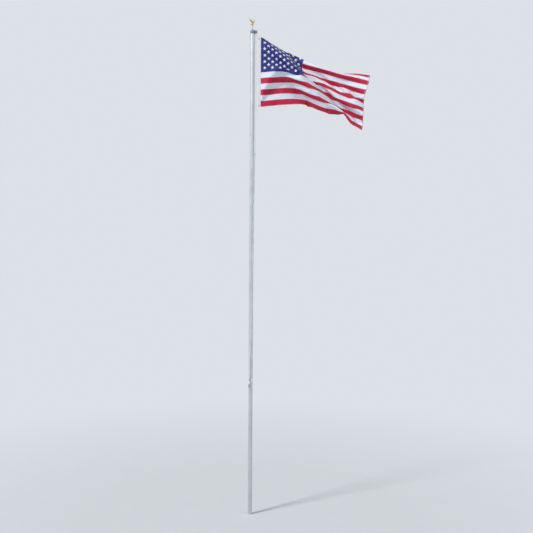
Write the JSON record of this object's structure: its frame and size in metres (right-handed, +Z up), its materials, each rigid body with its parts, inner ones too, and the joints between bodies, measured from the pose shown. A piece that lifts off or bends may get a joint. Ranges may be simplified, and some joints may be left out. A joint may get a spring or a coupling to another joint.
{
  "type": "flagpole with flag",
  "caption": "Sectional aluminium flagpole with a perched eagle finial, a side pulley truck, a halyard on a cleat, and a flying stars and stripes flag.",
  "frame": {"origin": "centre of the pole's foot at ground level, on the flat lower face of the lowest section", "axes": "+Z up along the pole, +X towards the flag's fly at rest, +Y away from the side the pole is looked at from"},
  "size_m": [1.5463, 0.2259, 6.2347],
  "materials": {
    "brushed_tube": "satin",
    "steel": "satin",
    "cast_cap": "cast",
    "sheave_plastic": "matte",
    "gilt": "gilded",
    "rope": "braided",
    "hook_white": "moulded",
    "heading_canvas": "woven",
    "grommet_brass": "pressed",
    "cloth_blue": "woven",
    "cloth_red": "woven",
    "cloth_white": "woven"
  },
  "bodies": {
    "mast": {"pole_section_1": "brushed_tube", "pole_section_2": "brushed_tube", "pole_section_3": "brushed_tube", "pole_section_4": "brushed_tube", "pole_section_5": "brushed_tube", "spring_button_1": "steel", "spring_button_2": "steel", "spring_button_3": "steel", "spring_button_4": "steel", "truck_cap": "cast_cap", "sheave_axle": "steel", "finial_spindle": "steel", "jam_nut": "steel", "eagle_perch": "gilt", "eagle": "gilt", "cleat": "cast_cap", "cleat_screw_upper": "steel", "cleat_screw_lower": "steel", "halyard_hauling_leg": "rope", "halyard_sheave_turn": "rope", "halyard_hoist_leg": "rope", "halyard_hitches": "rope", "halyard_turns": "rope"},
    "pulley": {"sheave": "sheave_plastic"},
    "flag": {"upper_snap_hook": "hook_white", "upper_snap_gate": "hook_white", "lower_snap_hook": "hook_white", "lower_snap_gate": "hook_white", "flag_heading": "heading_canvas", "upper_grommet": "grommet_brass", "lower_grommet": "grommet_brass", "flag_canton": "cloth_blue", "flag_stripe_01": "cloth_red", "flag_stripe_02": "cloth_white", "flag_stripe_03": "cloth_red", "flag_stripe_04": "cloth_white", "flag_stripe_05": "cloth_red", "flag_stripe_06": "cloth_white", "flag_stripe_07": "cloth_red", "flag_stripe_08": "cloth_white", "flag_stripe_09": "cloth_red", "flag_stripe_10": "cloth_white", "flag_stripe_11": "cloth_red", "flag_stripe_12": "cloth_white", "flag_stripe_13": "cloth_red"}
  },
  "joints": [
    {"name": "sheave_spin", "type": "hinge", "parent": "mast", "child": "pulley", "pos_m": [0.0444, 0, 6.087], "axis": [0, 1, 0], "continuous": true},
    {"name": "flag_swing", "type": "hinge", "parent": "mast", "child": "flag", "pos_m": [0.048, 0, 5.5815], "axis": [0, 0, 1], "range_deg": [-110, 110]}
  ]
}
